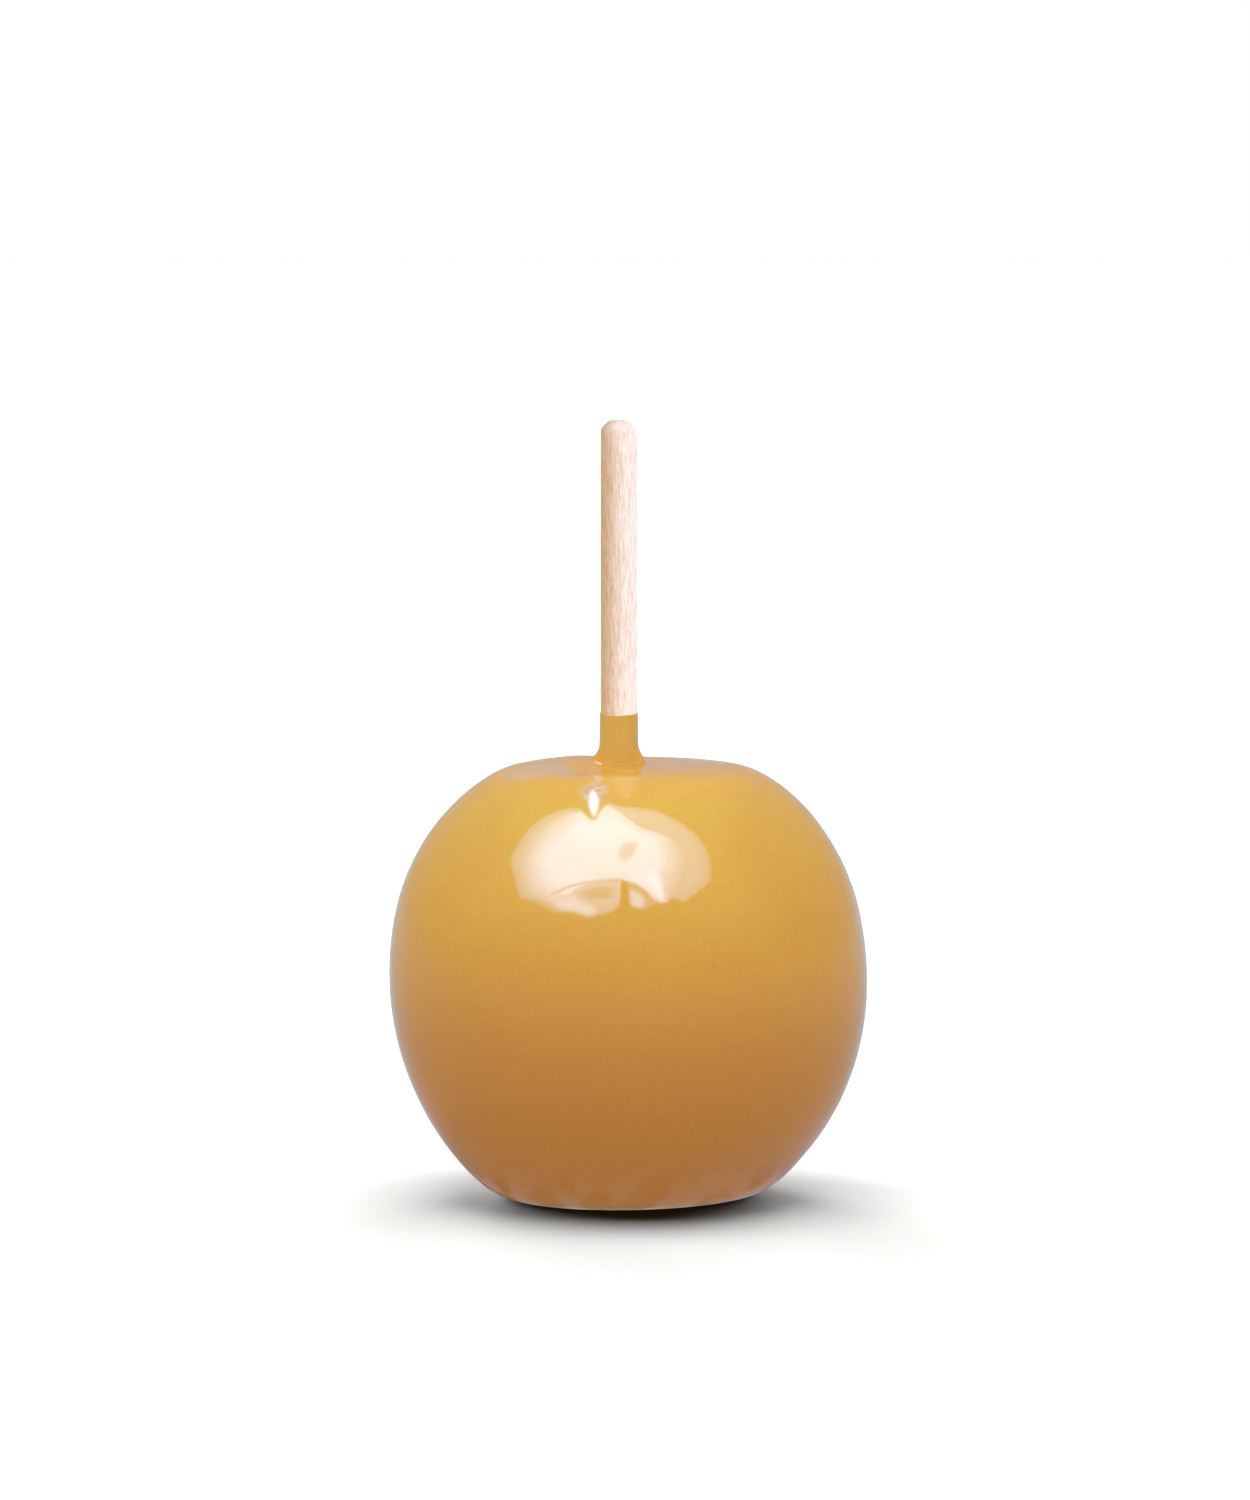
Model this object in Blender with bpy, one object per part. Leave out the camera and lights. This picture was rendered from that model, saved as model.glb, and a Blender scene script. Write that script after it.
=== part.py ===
"""A caramel apple on a stick, standing on the flat foot that its coat set into.

The coated apple is one solid: the apple, its coat and the sleeve of caramel that climbs the
stick. Its profile is spun into a cage of rings, which is set a little out of true, as a real
apple is, and a Subdivision Surface rounds it. The stick is a dowel that stands in a blind
socket. Lengths are in metres, +Z is up, and the origin is the middle of the foot.
"""

import math

import bmesh
import bpy
from mathutils import Matrix, Vector

# Coated apple: two superellipses that meet at the equator.
EQUATOR_RADIUS = 0.0423
EQUATOR_HEIGHT = 0.0379
SHOULDER_REACH = 0.0422
SHOULDER_FULLNESS = 2.27
SHOULDER_TURNS = (0, 13, 26, 39, 51, 62)
FLANK_REACH = 0.0417
FLANK_FULLNESS = 2.2
FLANK_TURNS = (48, 37, 25, 12.5)

# The foot, where the soft coat settled flat on its tray.
FOOT_RADIUS = 0.0178
FOOT_RING_SHARES = (0, 0.45, 0.84, 0.91, 1)
FOOT_EDGE_RADIUS = 0.0235
FOOT_EDGE_HEIGHT = 0.0005
FOOT_BLEND_HEIGHT = 0.014
FOOT_STRETCH = 0.07
FOOT_STRETCH_TURN = math.radians(33)
FOOT_DRIFT = 0.0006

# The crown, with a hollow that the caramel has almost filled.
CROWN_HEIGHT = 0.0762
CROWN_RADIUS = 0.0152
HOLLOW_RADIUS = 0.0100
HOLLOW_DEPTH = 0.0001

# Five soft lobes round the shoulder, one of them at the front.
LOBES = 5
LOBE_DEPTH = 0.0004
LOBE_PEAK_HEIGHT = 0.068
LOBE_FADE = 0.024

# The stick: a quarter-inch dowel, four and a half inches long.
STICK_DIAMETER = 0.00635
STICK_LENGTH = 0.1143
STICK_TOP = 0.1362
STICK_CENTRE_X = -0.00165
STICK_SIDES = 32
STICK_END_ROUNDING = 0.0017
STICK_ROUNDING_PROFILE = 0.33
STICK_ROUNDING_STEPS = 4

# The sleeve of caramel on the stick, and the socket under it.
SLEEVE_FILM = 0.0001
SOCKET_CLEARANCE = 0.00008
SOCKET_END_GAP = 0.0003
LIP_HEIGHT = 0.0851
LIP_SLOPE = 0.08

# The flare at the sleeve's foot: how far above the crown each ring lies, and how far out from
# the sleeve it stands on the left, on the right and at the front, where the foot is sharp.
FLARE_RISE = (0.00002, 0.0002, 0.0008, 0.00145, 0.00215, 0.0029, 0.0042)
FLARE_LEFT = (0.0024, 0.0020, 0.00145, 0.00085, 0.00032, 0.00008, 0.00002)
FLARE_RIGHT = (0.0013, 0.00122, 0.00105, 0.00075, 0.0003, 0.00008, 0.00002)
FLARE_FRONT = (0.0004, 0.0002, 0.00013, 0.00008, 0.00005, 0.00003, 0.00002)
FLARE_SIDE_POWER = 10

# Places where the coat is fuller or flatter than a turned shape: centre, reach and push.
NUDGES = (
    ((-0.038, 0, 0.018), 0.020, (0.0013, 0, 0)),
    ((0.038, 0, 0.018), 0.020, (-0.0005, 0, 0)),
    ((0.040, 0, 0.056), 0.026, (-0.0004, 0, 0)),
    ((-0.014, 0.008, 0.075), 0.016, (0, 0, 0.0006)),
    ((0.014, 0.008, 0.075), 0.016, (0, 0, 0.0002)),
    ((0, -0.0152, 0.0762), 0.012, (0, 0.003, 0)),
    ((-0.0095, 0.009, 0.0763), 0.011, (0, 0, 0.0006)),
    ((-0.008, -0.012, 0.0761), 0.008, (0, 0, -0.0008)),
    ((0.002, -0.013, 0.0761), 0.007, (0, 0, -0.0003)),
)

# Linear colours and roughness of the two materials.
CARAMEL = (0.61, 0.31, 0.07)
CARAMEL_ROUGHNESS = 0.15
BIRCH = (0.85, 0.68, 0.50)
BIRCH_ROUGHNESS = 0.6

SEGMENTS = 36
SMOOTHING_LEVELS = 1
SHARP_ANGLE = math.radians(40)
# Subdivision pulls a ring of straight sides in by this much, so the cage is drawn larger.
RING_PULL = (2 + math.cos(2 * math.pi / SEGMENTS)) / 3
WELD = 1e-6

STICK_RADIUS = STICK_DIAMETER / 2
SOCKET_RADIUS = STICK_RADIUS + SOCKET_CLEARANCE
SLEEVE_RADIUS = SOCKET_RADIUS + SLEEVE_FILM
SOCKET_FLOOR = STICK_TOP - STICK_LENGTH - SOCKET_END_GAP


def clear_scene():
    for obj in list(bpy.data.objects):
        bpy.data.objects.remove(obj, do_unlink=True)


def material(name, colour, roughness):
    """A plain Principled material. The colour is linear."""
    made = bpy.data.materials.new(name)
    made.use_nodes = True
    shader = made.node_tree.nodes["Principled BSDF"]
    shader.inputs["Base Color"].default_value = (*colour, 1)
    shader.inputs["Roughness"].default_value = roughness
    shader.inputs["Metallic"].default_value = 0
    return made


def soft_step(share):
    """0 to 1 with no kink at either end, and constant outside."""
    share = min(max(share, 0), 1)
    return share * share * (3 - 2 * share)


def superellipse(radius, reach, fullness, turn):
    """Radius and rise of a point at this turn, in degrees, from the equator."""
    angle = math.radians(turn)
    return (
        radius * math.cos(angle) ** (2 / fullness),
        reach * math.sin(angle) ** (2 / fullness),
    )


def body_profile():
    """(radius, height) of the coat's rings, from the middle of the foot to the crown."""
    profile = [(FOOT_RADIUS * share, 0) for share in FOOT_RING_SHARES]
    profile.append((FOOT_EDGE_RADIUS, FOOT_EDGE_HEIGHT))
    for turn in FLANK_TURNS:
        radius, fall = superellipse(EQUATOR_RADIUS, FLANK_REACH, FLANK_FULLNESS, turn)
        profile.append((radius, EQUATOR_HEIGHT - fall))
    for turn in SHOULDER_TURNS:
        radius, rise = superellipse(EQUATOR_RADIUS, SHOULDER_REACH, SHOULDER_FULLNESS, turn)
        profile.append((radius, EQUATOR_HEIGHT + rise))
    profile.append((CROWN_RADIUS, CROWN_HEIGHT))
    profile.append((HOLLOW_RADIUS, CROWN_HEIGHT - HOLLOW_DEPTH))
    return profile


def sleeve_profile():
    """The sleeve's rings from its flare up to the lip, and on down the socket to its floor."""
    profile = [(SLEEVE_RADIUS + out, CROWN_HEIGHT + up) for out, up in zip(FLARE_LEFT, FLARE_RISE)]
    profile.append((SLEEVE_RADIUS, LIP_HEIGHT))
    profile.append((SOCKET_RADIUS, LIP_HEIGHT))
    profile.append((SOCKET_RADIUS, SOCKET_FLOOR))
    profile.append((0, SOCKET_FLOOR))
    return profile


def spun_cage(bm, profile):
    """Spins the profile round the Z axis and closes the seam."""
    points = [bm.verts.new((radius / RING_PULL, 0, height)) for radius, height in profile]
    edges = [bm.edges.new(pair) for pair in zip(points, points[1:])]
    bmesh.ops.spin(
        bm,
        geom=points + edges,
        axis=(0, 0, 1),
        cent=(0, 0, 0),
        angle=2 * math.pi,
        steps=SEGMENTS,
    )
    bmesh.ops.remove_doubles(bm, verts=bm.verts, dist=WELD)
    bmesh.ops.recalc_face_normals(bm, faces=bm.faces)


def sharpen_socket(bm):
    """Creases the lip's two edges and the socket's floor, which the smoothing would round away."""
    crease = bm.edges.layers.float.new("crease_edge")
    for edge in bm.edges:
        heights = [point.co.z for point in edge.verts]
        radii = [point.co.xy.length for point in edge.verts]
        level = abs(heights[0] - heights[1]) < WELD
        round_the_axis = level and abs(radii[0] - radii[1]) < WELD
        at_lip = abs(heights[0] - LIP_HEIGHT) < WELD
        at_floor = abs(heights[0] - SOCKET_FLOOR) < WELD and radii[0] < SLEEVE_RADIUS / RING_PULL
        if round_the_axis and (at_lip or at_floor):
            edge[crease] = 1


def on_stick(point):
    """Whether a point of the cage belongs to the sleeve, its flare or the socket, which stay round."""
    flare_radius = (SLEEVE_RADIUS + FLARE_LEFT[0] + WELD) / RING_PULL
    return point.co.z > WELD and point.co.xy.length < flare_radius


def draw_flare_in(points):
    """Narrows the flare towards the right, and most of all towards the front."""
    for point in points:
        for rise, left, right, front in zip(FLARE_RISE, FLARE_LEFT, FLARE_RIGHT, FLARE_FRONT):
            if abs(point.co.z - CROWN_HEIGHT - rise) > WELD:
                continue
            spoke = point.co.xy.normalized()
            out = left + (right - left) * soft_step((1 + spoke.x) / 2)
            if spoke.y < 0:
                out = front + (out - front) * spoke.x**FLARE_SIDE_POWER
            growth = (SLEEVE_RADIUS + out) / (SLEEVE_RADIUS + left)
            point.co.x *= growth
            point.co.y *= growth


def slope_lip(points):
    """The caramel ran down further at the front, so the lip slopes that way."""
    for point in points:
        if point.co.z > LIP_HEIGHT - WELD:
            point.co.z += LIP_SLOPE * point.co.y


def raise_lobes(points):
    for point in points:
        turn = math.atan2(point.co.y, point.co.x)
        fade = soft_step(1 - abs(point.co.z - LOBE_PEAK_HEIGHT) / LOBE_FADE)
        swell = LOBE_DEPTH * fade * -math.sin(LOBES * turn)
        outward = Vector((point.co.x, point.co.y, 0)).normalized()
        point.co += outward * swell


def stretch_foot(points):
    """Makes the foot a slanting oval, fading out up the flank."""
    turned = Matrix.Rotation(FOOT_STRETCH_TURN, 3, "Z")
    for point in points:
        fade = soft_step(1 - point.co.z / FOOT_BLEND_HEIGHT)
        along = turned.inverted() @ point.co
        along.x *= 1 + FOOT_STRETCH * fade
        along.y *= 1 - FOOT_STRETCH * fade
        point.co = turned @ along
        point.co.x += FOOT_DRIFT * fade


def push(points, centre, reach, by):
    """Moves what is near the centre, fading softly to nothing at the reach."""
    for point in points:
        fade = soft_step(1 - (point.co - Vector(centre)).length / reach)
        point.co += Vector(by) * fade


def centre_on_stick(points):
    """Sets the sleeve and the socket on the stick's own axis, and eases the hollow's rings over."""
    inner = (SLEEVE_RADIUS + FLARE_LEFT[0]) / RING_PULL
    outer = CROWN_RADIUS / RING_PULL
    for point in points:
        if point.co.z > WELD:
            fade = soft_step((outer - point.co.xy.length) / (outer - inner))
            point.co.x += STICK_CENTRE_X * fade


def make_coated_apple():
    bm = bmesh.new()
    spun_cage(bm, body_profile() + sleeve_profile())
    sharpen_socket(bm)
    stick_points = {point for point in bm.verts if on_stick(point)}
    body_points = set(bm.verts) - stick_points
    draw_flare_in(stick_points)
    slope_lip(stick_points)
    raise_lobes(body_points)
    centre_on_stick(bm.verts)
    stretch_foot(body_points)
    for centre, reach, by in NUDGES:
        push(body_points, centre, reach, by)
    mesh = bpy.data.meshes.new("coated_apple")
    bm.to_mesh(mesh)
    bm.free()
    apple = bpy.data.objects.new("coated_apple", mesh)
    bpy.context.scene.collection.objects.link(apple)
    rounding = apple.modifiers.new("rounding", "SUBSURF")
    rounding.levels = SMOOTHING_LEVELS
    rounding.render_levels = SMOOTHING_LEVELS
    mesh.shade_smooth()
    mesh.materials.append(material("caramel", CARAMEL, CARAMEL_ROUGHNESS))
    return apple


def make_stick():
    bpy.ops.mesh.primitive_cylinder_add(
        vertices=STICK_SIDES,
        radius=STICK_RADIUS,
        depth=STICK_LENGTH,
        location=(STICK_CENTRE_X, 0, STICK_TOP - STICK_LENGTH / 2),
    )
    stick = bpy.context.object
    stick.name = "stick"
    stick.data.name = "stick"
    ends = stick.modifiers.new("rounded ends", "BEVEL")
    ends.width = STICK_END_ROUNDING
    ends.segments = STICK_ROUNDING_STEPS
    ends.profile = STICK_ROUNDING_PROFILE
    ends.limit_method = "ANGLE"
    stick.data.shade_smooth()
    stick.data.set_sharp_from_angle(angle=SHARP_ANGLE)
    stick.data.materials.append(material("birch", BIRCH, BIRCH_ROUGHNESS))
    return stick


clear_scene()
make_coated_apple()
make_stick()
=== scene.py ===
import math

import bmesh
import bpy
from mathutils import Matrix, Vector
from mathutils.bvhtree import BVHTree
from mathutils.geometry import intersect_line_plane
from mathutils.interpolate import poly_3d_calc


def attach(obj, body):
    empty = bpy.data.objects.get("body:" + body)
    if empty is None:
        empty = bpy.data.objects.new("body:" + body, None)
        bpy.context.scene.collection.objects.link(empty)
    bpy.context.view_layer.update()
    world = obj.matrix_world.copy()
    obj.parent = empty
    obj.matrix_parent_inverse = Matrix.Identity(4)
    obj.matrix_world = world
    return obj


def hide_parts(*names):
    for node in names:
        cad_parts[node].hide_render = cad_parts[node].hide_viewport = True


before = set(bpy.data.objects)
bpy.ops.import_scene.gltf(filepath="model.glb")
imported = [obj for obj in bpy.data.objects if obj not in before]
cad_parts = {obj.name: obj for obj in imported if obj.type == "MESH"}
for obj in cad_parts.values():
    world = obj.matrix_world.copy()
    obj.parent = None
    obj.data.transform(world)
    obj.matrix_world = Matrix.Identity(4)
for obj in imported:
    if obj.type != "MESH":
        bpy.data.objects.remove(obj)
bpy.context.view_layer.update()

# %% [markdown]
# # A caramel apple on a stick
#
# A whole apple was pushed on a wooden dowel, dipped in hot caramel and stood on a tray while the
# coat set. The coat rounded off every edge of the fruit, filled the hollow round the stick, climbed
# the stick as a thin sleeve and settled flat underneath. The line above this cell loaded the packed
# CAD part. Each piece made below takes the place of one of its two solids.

# %% [markdown]
# ## The camera
#
# The photograph was taken from more than a metre away with a long lens, so the sides of the
# stick stay parallel and the foot shows only as a shallow curve. The camera comes first, because
# the lamps are placed later by looking from it. A lens length is a number of pixels times the
# sensor's size over the picture's size, and the sensor's 36 mm lie along the longer side.

# %% Set the camera up
PHOTO_WIDTH = 1250
PHOTO_HEIGHT = 1500
SENSOR = 36
FOCAL_PIXELS = 6574
CAMERA_DISTANCE = 1.150
CAMERA_RISE = math.radians(4.6)
AIM = Vector((-0.00058, 0, 0.07852))

camera = bpy.data.objects.new("camera", bpy.data.cameras.new("camera"))
bpy.context.scene.collection.objects.link(camera)
bpy.context.scene.camera = camera
camera.data.sensor_width = SENSOR
camera.data.lens = FOCAL_PIXELS * SENSOR / PHOTO_HEIGHT
camera.location = AIM + CAMERA_DISTANCE * Vector((0, -math.cos(CAMERA_RISE), math.sin(CAMERA_RISE)))
camera.rotation_euler = (AIM - camera.location).to_track_quat("-Z", "Y").to_euler()
print("lens", round(camera.data.lens, 1), "mm, at", [round(c, 3) for c in camera.location])


# %% [markdown]
# ## Selecting by place
#
# Working by hand, you would click on points. In a script the same choice is a test on each
# point's place. Every operator after it acts on what is selected, so the helper clears the
# selection first, and it stops the script when no point passes, which shows a wrong test at once.


# %% Helpers for selecting and shaping
def start_piece(name):
    """Names the primitive that was just added, and goes into edit mode to work on its points."""
    piece = bpy.context.object
    piece.name = name
    piece.data.name = name
    bpy.ops.object.mode_set(mode="EDIT")
    bpy.ops.mesh.select_mode(type="VERT")
    return piece


def select_points(piece, wanted):
    """Selects the points whose place passes the test, and the edges and faces between them."""
    bpy.ops.mesh.select_all(action="DESELECT")
    mesh = bmesh.from_edit_mesh(piece.data)
    for point in mesh.verts:
        point.select = bool(wanted(point.co))
    if not any(point.select for point in mesh.verts):
        raise ValueError("no point of " + piece.name + " passes the test")
    mesh.select_flush(True)
    bmesh.update_edit_mesh(piece.data)


def select_nearest(piece, place):
    """Selects the one point that is nearest to a place."""
    bpy.ops.mesh.select_all(action="DESELECT")
    mesh = bmesh.from_edit_mesh(piece.data)
    min(mesh.verts, key=lambda point: (point.co - Vector(place)).length).select = True
    mesh.select_flush(True)
    bmesh.update_edit_mesh(piece.data)


def apply_modifier(piece, kind, **settings):
    """Adds a modifier with these settings and applies it."""
    modifier = piece.modifiers.new(kind.lower(), kind)
    for name, value in settings.items():
        setattr(modifier, name, value)
    bpy.ops.object.select_all(action="DESELECT")
    piece.select_set(True)
    bpy.context.view_layer.objects.active = piece
    bpy.ops.object.modifier_apply(modifier=modifier.name)


def soft_step(share):
    """0 to 1 with no kink at either end, and constant outside."""
    share = min(max(share, 0), 1)
    return share * share * (3 - 2 * share)


# %% [markdown]
# ## The outline of the coated apple
#
# Seen from the side, a coated apple is two flattened arcs that meet at its widest height. A
# superellipse draws such an arc from three numbers: how wide, how tall, and how full its corner
# is. The profile starts on the flat foot, goes up the flank and over the shoulder to the nearly
# flat crown, and then climbs the stick. It goes on over the sleeve's lip and down the socket in
# which the stick stands, so that the coat and the stick never share any room.

# %% The sizes of the coat
MM = 0.001
SEGMENTS = 36
# Subdivision draws a ring of straight sides in by this much, so each ring starts larger.
RING_PULL = (2 + math.cos(2 * math.pi / SEGMENTS)) / 3
FOOT_RADIUS = 17.8 * MM
FOOT_EDGE_RADIUS = 23.5 * MM
FOOT_EDGE_HEIGHT = 0.5 * MM
EQUATOR_RADIUS = 42.3 * MM
EQUATOR_HEIGHT = 37.9 * MM
FLANK_FALL = 41.7 * MM
FLANK_FULLNESS = 2.2
SHOULDER_RISE = 42.2 * MM
SHOULDER_FULLNESS = 2.27
CROWN_HEIGHT = 76.2 * MM
CROWN_RADIUS = 15.2 * MM
HOLLOW_RADIUS = 10 * MM
HOLLOW_DEPTH = 0.1 * MM
STICK_X = -1.65 * MM
STICK_RADIUS = 3.175 * MM
SLEEVE_RADIUS = 3.35 * MM
SOCKET_RADIUS = 3.255 * MM
SOCKET_FLOOR = 21.6 * MM
LIP_HEIGHT = 85.1 * MM
LIP_DEPTH = 0.5 * MM
LIP_TILT = math.radians(4.6)
# The flare at the sleeve's foot, ring by ring and in mm: how far above the crown, and how far
# out from the sleeve on its left, on its right and at its front.
FLARE_RISE = (0.01, 0.03, 0.2, 0.8, 1.45, 2.15, 2.9, 4.2)
FLARE_LEFT = (2.6, 2.4, 2.0, 1.45, 0.85, 0.32, 0.08, 0.02)
FLARE_RIGHT = (1.35, 1.3, 1.22, 1.05, 0.75, 0.3, 0.08, 0.02)
FLARE_FRONT = (0.22, 0.19, 0.17, 0.13, 0.08, 0.05, 0.03, 0.02)
print("the coat is", round(2 * EQUATOR_RADIUS / MM, 1), "mm wide before the flanks are pushed")


# %% Draw the profile as rings
def superellipse(reach, fullness, turn):
    """Radius and rise of a point of the outline at this turn, in degrees, from the widest ring."""
    angle = math.radians(turn)
    radius = EQUATOR_RADIUS * math.cos(angle) ** (2 / fullness)
    return radius, reach * math.sin(angle) ** (2 / fullness)


rings = [(FOOT_RADIUS * share, 0) for share in (0.45, 0.84, 0.91, 1)]
rings.append((FOOT_EDGE_RADIUS, FOOT_EDGE_HEIGHT))
for turn in (48, 37, 25, 12.5):
    radius, fall = superellipse(FLANK_FALL, FLANK_FULLNESS, turn)
    rings.append((radius, EQUATOR_HEIGHT - fall))
for turn in (0, 13, 26, 39, 51, 62):
    radius, rise = superellipse(SHOULDER_RISE, SHOULDER_FULLNESS, turn)
    rings.append((radius, EQUATOR_HEIGHT + rise))
rings.append((CROWN_RADIUS, CROWN_HEIGHT))
rings.append((HOLLOW_RADIUS, CROWN_HEIGHT - HOLLOW_DEPTH))
for out, up in zip(FLARE_LEFT, FLARE_RISE):
    rings.append((SLEEVE_RADIUS + out * MM, CROWN_HEIGHT + up * MM))
rings += [
    (SLEEVE_RADIUS, LIP_HEIGHT - LIP_DEPTH),
    (SLEEVE_RADIUS - 0.01 * MM, LIP_HEIGHT - 0.08 * MM),
    (STICK_RADIUS + 0.06 * MM, LIP_HEIGHT),
    (STICK_RADIUS + 0.03 * MM, LIP_HEIGHT - 0.1 * MM),
    (SOCKET_RADIUS, LIP_HEIGHT - LIP_DEPTH),
    (SOCKET_RADIUS, SOCKET_FLOOR + 0.1 * MM),
    (SOCKET_RADIUS, SOCKET_FLOOR),
    (0.6 * SOCKET_RADIUS, SOCKET_FLOOR),
]
print(len(rings), "rings, the widest", round(max(rings)[0] * 1000, 1), "mm in radius")

# %% [markdown]
# ## Building the coat ring by ring
#
# The profile could be spun round the axis in one go. Extruding one ring at a time gives the same
# shape, and each ring can also step sideways, which is needed here: the stick went in a little
# left of the middle, so the hollow and the sleeve have to follow it. A filled circle is the first
# ring. Its rim is extruded up, moved and resized until the last ring lies on the socket's floor.

# %% Extrude the coat
bpy.ops.object.select_all(action="DESELECT")
first_radius, first_height = rings[0]
bpy.ops.mesh.primitive_circle_add(
    vertices=SEGMENTS, radius=first_radius / RING_PULL, fill_type="TRIFAN", location=(0, 0, 0)
)
coat = start_piece("caramel_coat")
select_points(coat, lambda place: place.xy.length > 0.9 * first_radius)
flare_radius = SLEEVE_RADIUS + FLARE_LEFT[0] * MM
past_crown = False
last_radius, last_height, last_x = first_radius, first_height, 0
for radius, height in rings[1:]:
    past_crown = past_crown or height == CROWN_HEIGHT
    inward = soft_step((CROWN_RADIUS - radius) / (CROWN_RADIUS - flare_radius))
    centre_x = STICK_X * inward if past_crown else 0
    bpy.ops.mesh.extrude_region_move(
        TRANSFORM_OT_translate={"value": (centre_x - last_x, 0, height - last_height)}
    )
    growth = radius / last_radius
    bpy.ops.transform.resize(value=(growth, growth, 1), center_override=(centre_x, 0, height))
    last_radius, last_height, last_x = radius, height, centre_x
bpy.ops.mesh.extrude_region_move(TRANSFORM_OT_translate={"value": (0, 0, 0)})
bpy.ops.mesh.merge(type="CENTER")
print(coat.name, "has", len(bmesh.from_edit_mesh(coat.data).verts), "points in its cage")

# %% [markdown]
# ## The flare of the sleeve
#
# Where the sleeve meets the crown the caramel pooled, further out on the left than on the right
# and hardly at all in front. The rings above carry the left side's flare all the way round. So
# each point of those rings is now drawn in by itself: on its way to the right towards that side's
# numbers, and in front towards the front's.

# %% Draw the flare in at the front and on the right
SAME_HEIGHT = 0.004 * MM
SAME_POINT = 0.05 * MM
# A high power keeps the full flare at the sleeve's very sides.
FRONT_POWER = 10
stick_middle = Vector((STICK_X, 0))
for up, left, right, front in zip(FLARE_RISE, FLARE_LEFT, FLARE_RIGHT, FLARE_FRONT):
    height = CROWN_HEIGHT + up * MM
    ring_radius = SLEEVE_RADIUS + left * MM
    for step in range(SEGMENTS):
        turn = 2 * math.pi * step / SEGMENTS
        spoke = Vector((math.cos(turn), math.sin(turn)))
        out = left + (right - left) * soft_step((1 + spoke.x) / 2)
        if spoke.y < 0:
            out = front + (out - front) * spoke.x**FRONT_POWER
        spot = stick_middle + spoke * ring_radius / RING_PULL
        select_points(
            coat,
            lambda place: abs(place.z - height) < SAME_HEIGHT and (place.xy - spot).length < SAME_POINT,
        )
        growth = (SLEEVE_RADIUS + out * MM) / ring_radius
        bpy.ops.transform.resize(value=(growth, growth, 1), center_override=(STICK_X, 0, height))
print("the flare is", FLARE_LEFT[0], "mm wide on the left and", FLARE_RIGHT[0], "mm on the right")

# %% [markdown]
# ## Making it an apple
#
# No apple is turned on a lathe. This one has five soft lobes round the shoulder, a foot that
# spread into a slanting oval, and a fuller left flank. The oval is made by stretching the lowest
# rings along a turned axis, fading out up the flank. Proportional editing is the tool for the
# rest: one point is moved, and its neighbours follow less and less out to a given reach.

# %% Stretch the foot
FOOT_TURN = math.radians(33)
FOOT_STRETCH = 0.07
FOOT_SHIFT = 0.6 * MM
FOOT_FADE_HEIGHT = 14 * MM
foot_axes = Matrix.Rotation(FOOT_TURN, 3, "Z")
foot_heights = sorted({height for radius, height in rings if height < FOOT_FADE_HEIGHT})
for height in foot_heights:
    select_points(coat, lambda place: abs(place.z - height) < 0.01 * MM)
    fade = soft_step(1 - height / FOOT_FADE_HEIGHT)
    bpy.ops.transform.resize(
        value=(1 + FOOT_STRETCH * fade, 1 - FOOT_STRETCH * fade, 1),
        orient_type="GLOBAL",
        orient_matrix=foot_axes,
        orient_matrix_type="GLOBAL",
        center_override=(0, 0, height),
    )
    bpy.ops.transform.translate(value=(FOOT_SHIFT * fade, 0, 0))
print(len(foot_heights), "rings of the foot stretched")


# %% Push the lobes, the flanks and the crown
def push(piece, place, reach, by):
    """Moves the point nearest to a place, and what lies within reach of it ever less. All in mm."""
    select_nearest(piece, [c * MM for c in place])
    bpy.ops.transform.translate(
        value=[c * MM for c in by],
        use_proportional_edit=True,
        proportional_edit_falloff="SMOOTH",
        proportional_size=reach * MM,
    )


LOBES = 5
LOBE_DEPTH = 0.4
LOBE_HEIGHT = 66
LOBE_RADIUS = 29
LOBE_REACH = 17
for step in range(2 * LOBES):
    turn = math.radians(-90 + step * 180 / LOBES)
    outward = (math.cos(turn), math.sin(turn))
    depth = LOBE_DEPTH if step % 2 == 0 else -LOBE_DEPTH
    place = (LOBE_RADIUS * outward[0], LOBE_RADIUS * outward[1], LOBE_HEIGHT)
    push(coat, place, LOBE_REACH, (depth * outward[0], depth * outward[1], 0))

# The flank is fuller low on the left and leaner all the way up on the right. The crown's edge
# stands higher on the left than on the right, and is drawn in at the front. Each push has its
# place, its reach and how far it goes, in mm.
CAGE_PUSHES = (
    ((-40, 0, 18), 20, (1.1, 0, 0)),
    ((40, 0, 18), 20, (-0.4, 0, 0)),
    ((36, 0, 56), 24, (-0.4, 0, 0)),
    ((-15, 0, 76.2), 11, (0, 0, 0.5)),
    ((15, 0, 76.2), 10, (0, 0, 0.15)),
    ((0, -15.2, 76.2), 12, (0, 3, 0)),
)
for place, reach, by in CAGE_PUSHES:
    push(coat, place, reach, by)
print(2 * LOBES, "pushes for the lobes,", len(CAGE_PUSHES), "for the flanks and the crown")

# %% Tilt the lip and close the cage
# The caramel ran down further at the front of the stick, so the sleeve's lip slopes that way.
# With no window open, a rotation turns the other way round.
LIP_RINGS_DEPTH = 0.6 * MM
select_points(coat, lambda place: place.z > LIP_HEIGHT - LIP_RINGS_DEPTH)
bpy.ops.transform.rotate(
    value=-LIP_TILT, orient_axis="X", center_override=(STICK_X, 0, LIP_HEIGHT)
)
bpy.ops.mesh.select_all(action="SELECT")
bpy.ops.mesh.remove_doubles(threshold=0.0001 * MM)
bpy.ops.mesh.normals_make_consistent(inside=False)
bpy.ops.object.mode_set(mode="OBJECT")
print("the lip slopes", round(math.degrees(LIP_TILT), 1), "degrees towards the front")

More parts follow.
